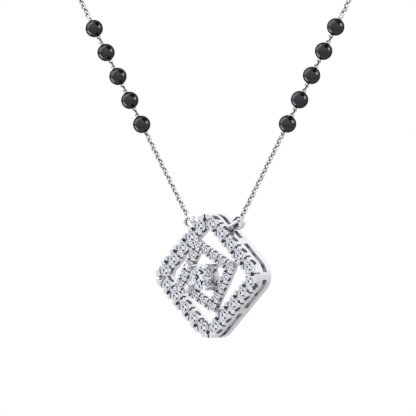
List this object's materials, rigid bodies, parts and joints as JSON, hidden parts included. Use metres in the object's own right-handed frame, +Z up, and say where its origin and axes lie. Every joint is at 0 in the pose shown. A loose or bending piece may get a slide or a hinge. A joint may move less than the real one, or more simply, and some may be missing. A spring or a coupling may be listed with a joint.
{
  "type": "mangalsutra necklace",
  "caption": "Mangalsutra: an open square pendant with a turned square and a raised round stone inside it, set with clear brilliants, on a fine chain with black beads.",
  "frame": {"origin": "middle of the wearer's neck, at the height where the chain lies round the nape", "axes": "+Z up, the pendant's face towards -Y, +X towards the viewer's right of the pendant"},
  "size_m": [0.1164, 0.1005, 0.1057],
  "materials": {
    "white_metal": "polished white gold",
    "clear_stone": "brilliant cut, clear",
    "black_bead": "polished black"
  },
  "bodies": {
    "necklace": {"jump_ring_left": "white_metal", "jump_ring_right": "white_metal", "bead_left_1": "black_bead", "bead_left_2": "black_bead", "bead_left_3": "black_bead", "bead_left_4": "black_bead", "bead_left_5": "black_bead", "bead_right_1": "black_bead", "bead_right_2": "black_bead", "bead_right_3": "black_bead", "bead_right_4": "black_bead", "bead_right_5": "black_bead", "bead_pins_left": "white_metal", "bead_pins_right": "white_metal", "bead_links_left": "white_metal", "bead_links_right": "white_metal", "front_chain_left": "white_metal", "front_chain_right": "white_metal", "neck_chain_left": "white_metal", "neck_chain_right": "white_metal", "clasp": "white_metal"},
    "pendant": {"pendant_frame": "white_metal", "centre_stone": "clear_stone", "inner_stones": "clear_stone", "frame_stone_1": "clear_stone", "frame_stone_2": "clear_stone", "frame_stone_3": "clear_stone", "frame_stone_4": "clear_stone", "frame_stone_5": "clear_stone", "frame_stone_6": "clear_stone", "frame_stone_7": "clear_stone", "frame_stone_8": "clear_stone", "frame_stone_9": "clear_stone", "frame_stone_10": "clear_stone", "frame_stone_11": "clear_stone", "frame_stone_12": "clear_stone", "frame_stone_13": "clear_stone", "frame_stone_14": "clear_stone", "frame_stone_15": "clear_stone", "frame_stone_16": "clear_stone", "frame_stone_17": "clear_stone", "frame_stone_18": "clear_stone", "frame_stone_19": "clear_stone", "frame_stone_20": "clear_stone"}
  },
  "joints": [
    {"name": "pendant_swing", "type": "hinge", "parent": "necklace", "child": "pendant", "pos_m": [0, -0.037, -0.0886], "axis": [1, 0, 0], "range_deg": [-25, 25]}
  ]
}
